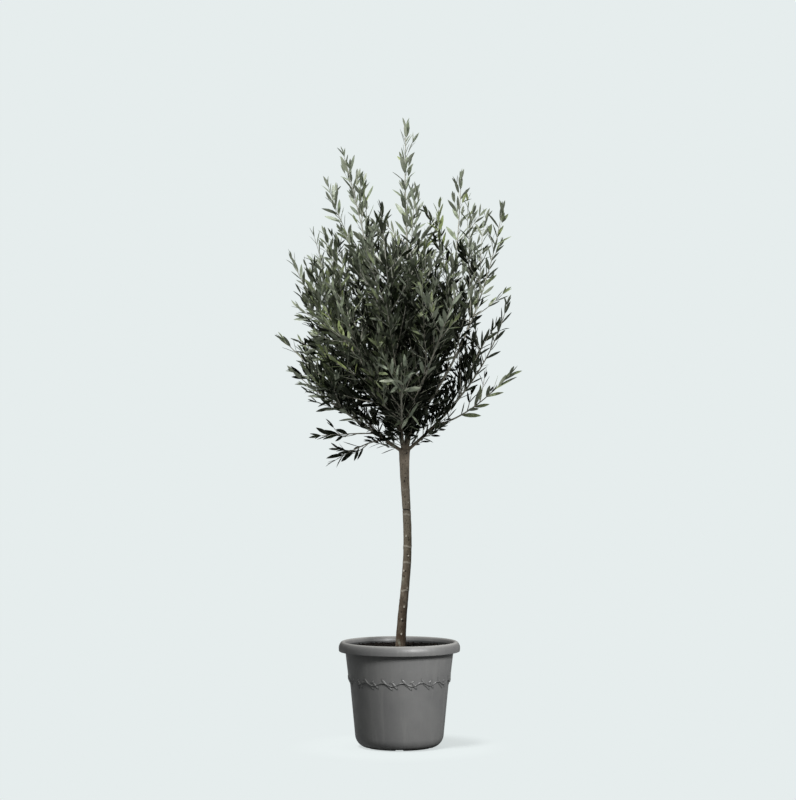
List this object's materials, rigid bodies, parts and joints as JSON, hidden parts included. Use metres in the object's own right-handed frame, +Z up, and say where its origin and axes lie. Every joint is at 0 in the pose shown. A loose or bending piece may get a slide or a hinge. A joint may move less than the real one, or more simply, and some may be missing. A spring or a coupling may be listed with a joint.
{
  "type": "potted olive tree",
  "caption": "Young olive tree with a clear slender stem and an open rounded crown of narrow grey-green leaves, in a round moulded plastic pot with a rolled rim.",
  "frame": {"origin": "centre of the pot's flat underside, on the ground", "axes": "+Z up along the stem, -Y towards the front, +X to the right seen from the front"},
  "size_m": [0.6997, 0.6417, 1.8071],
  "materials": {
    "pot_plastic": "anthracite grey moulded plastic with a fine grain",
    "soil": "dark moist potting soil with coarse bark",
    "bark": "smooth grey-brown young bark with small knots",
    "foliage": "leathery grey-green leaves, silvery below, on thin twigs"
  },
  "bodies": {
    "root": {"pot": "pot_plastic", "soil": "soil", "trunk": "bark", "bough_leader": "bark", "bough_upper_left": "bark", "bough_upper_back": "bark", "bough_upper_front": "bark", "bough_low_left": "bark", "bough_right": "bark", "bough_upper_right": "bark", "bough_right_shoulder": "bark", "bough_low_right": "bark", "bough_left_shoulder": "bark", "bough_front_left": "bark", "bough_left": "bark", "bough_front_right": "bark", "bough_low_front": "bark", "bough_back_left": "bark", "bough_back_right": "bark", "bough_low_back": "bark", "bough_upper_sprig": "bark", "bough_lower_sprig": "bark", "foliage_leader": "foliage", "foliage_upper_left": "foliage", "foliage_upper_back": "foliage", "foliage_upper_front": "foliage", "foliage_low_left": "foliage", "foliage_right": "foliage", "foliage_upper_right": "foliage", "foliage_right_shoulder": "foliage", "foliage_low_right": "foliage", "foliage_left_shoulder": "foliage", "foliage_front_left": "foliage", "foliage_left": "foliage", "foliage_front_right": "foliage", "foliage_low_front": "foliage", "foliage_back_left": "foliage", "foliage_back_right": "foliage", "foliage_low_back": "foliage", "foliage_upper_sprig": "foliage", "foliage_lower_sprig": "foliage"}
  },
  "joints": []
}
